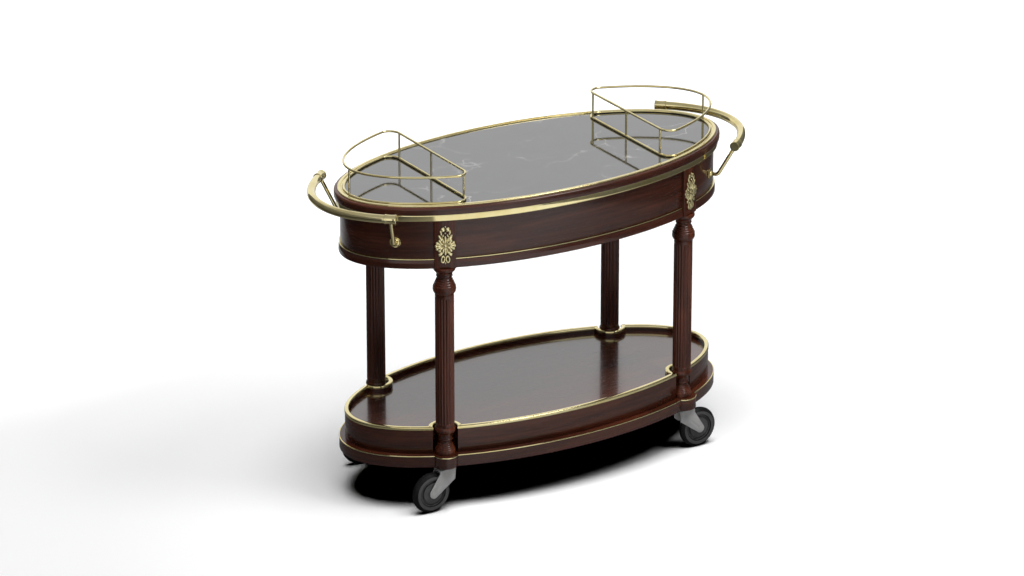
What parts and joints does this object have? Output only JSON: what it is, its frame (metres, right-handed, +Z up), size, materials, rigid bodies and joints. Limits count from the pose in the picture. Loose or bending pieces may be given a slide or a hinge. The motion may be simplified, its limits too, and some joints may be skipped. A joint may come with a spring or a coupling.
{
  "type": "beverage cart",
  "caption": "Oval mahogany beverage cart: inset stone top with wire galleries and brass push handles, stemware rack, fluted legs and a railed lower tray on swivel casters.",
  "frame": {"origin": "on the floor under the middle of the cart", "axes": "+X along the cart towards its right end, -Y towards the front, +Z up"},
  "size_m": [1.399, 0.5958, 1.0125],
  "materials": {
    "mahogany": "dark red-brown, gloss lacquer",
    "leg_mahogany": "dark red-brown, gloss lacquer",
    "floor_mahogany": "polished high gloss",
    "rack_mahogany": "satin lacquer",
    "black_stone": "polished, fine pale veins",
    "brass": "polished and lacquered",
    "cast_brass": "cast, polished on the high spots",
    "fork_grey": "flat grey paint",
    "hub_grey": "moulded, matte",
    "tyre_black": "moulded, matte",
    "caster_steel": "zinc plated"
  },
  "bodies": {
    "cart": {"top_board": "mahogany", "front_apron": "mahogany", "back_apron": "mahogany", "left_apron": "mahogany", "right_apron": "mahogany", "apron_mouldings": "mahogany", "plinth": "mahogany", "tray_wall": "mahogany", "front_left_leg": "leg_mahogany", "front_right_leg": "leg_mahogany", "back_left_leg": "leg_mahogany", "back_right_leg": "leg_mahogany", "tray_floor": "floor_mahogany", "rack_panel": "rack_mahogany", "rack_spacers": "rack_mahogany", "rack_strips": "rack_mahogany", "stone_top": "black_stone", "stone_rim": "brass", "fascia_band": "brass", "apron_beads": "brass", "plinth_bead": "brass", "tray_rail": "brass", "handle_rosettes": "brass", "left_gallery_base_rail": "brass", "left_gallery_top_rail": "brass", "left_gallery_posts": "brass", "right_gallery_base_rail": "brass", "right_gallery_top_rail": "brass", "right_gallery_posts": "brass", "left_handle_bar": "brass", "left_handle_collars": "brass", "left_handle_brackets": "brass", "right_handle_bar": "brass", "right_handle_collars": "brass", "right_handle_brackets": "brass", "front_left_ornament": "cast_brass", "front_right_ornament": "cast_brass", "back_left_ornament": "cast_brass", "back_right_ornament": "cast_brass", "front_left_caster_plate": "caster_steel", "front_right_caster_plate": "caster_steel", "back_left_caster_plate": "caster_steel", "back_right_caster_plate": "caster_steel"},
    "front_left_swivel": {"front_left_caster_fork": "fork_grey", "front_left_caster_axle": "fork_grey"},
    "front_left_wheel": {"front_left_caster_wheel": "hub_grey", "front_left_caster_tyre": "tyre_black"},
    "front_right_swivel": {"front_right_caster_fork": "fork_grey", "front_right_caster_axle": "fork_grey"},
    "front_right_wheel": {"front_right_caster_wheel": "hub_grey", "front_right_caster_tyre": "tyre_black"},
    "back_left_swivel": {"back_left_caster_fork": "fork_grey", "back_left_caster_axle": "fork_grey"},
    "back_left_wheel": {"back_left_caster_wheel": "hub_grey", "back_left_caster_tyre": "tyre_black"},
    "back_right_swivel": {"back_right_caster_fork": "fork_grey", "back_right_caster_axle": "fork_grey"},
    "back_right_wheel": {"back_right_caster_wheel": "hub_grey", "back_right_caster_tyre": "tyre_black"}
  },
  "joints": [
    {"name": "front_left_swivel_turn", "type": "hinge", "parent": "cart", "child": "front_left_swivel", "pos_m": [-0.40599, -0.20402, 0.12], "axis": [0, 0, 1], "continuous": true},
    {"name": "front_left_wheel_roll", "type": "hinge", "parent": "front_left_swivel", "child": "front_left_wheel", "pos_m": [-0.45499, -0.20402, 0.0605], "axis": [0, 1, 0], "continuous": true},
    {"name": "front_right_swivel_turn", "type": "hinge", "parent": "cart", "child": "front_right_swivel", "pos_m": [0.40599, -0.20402, 0.12], "axis": [0, 0, 1], "continuous": true},
    {"name": "front_right_wheel_roll", "type": "hinge", "parent": "front_right_swivel", "child": "front_right_wheel", "pos_m": [0.45499, -0.20402, 0.0605], "axis": [0, 1, 0], "continuous": true},
    {"name": "back_left_swivel_turn", "type": "hinge", "parent": "cart", "child": "back_left_swivel", "pos_m": [-0.40599, 0.20402, 0.12], "axis": [0, 0, 1], "continuous": true},
    {"name": "back_left_wheel_roll", "type": "hinge", "parent": "back_left_swivel", "child": "back_left_wheel", "pos_m": [-0.45499, 0.20402, 0.0605], "axis": [0, 1, 0], "continuous": true},
    {"name": "back_right_swivel_turn", "type": "hinge", "parent": "cart", "child": "back_right_swivel", "pos_m": [0.40599, 0.20402, 0.12], "axis": [0, 0, 1], "continuous": true},
    {"name": "back_right_wheel_roll", "type": "hinge", "parent": "back_right_swivel", "child": "back_right_wheel", "pos_m": [0.45499, 0.20402, 0.0605], "axis": [0, 1, 0], "continuous": true}
  ]
}
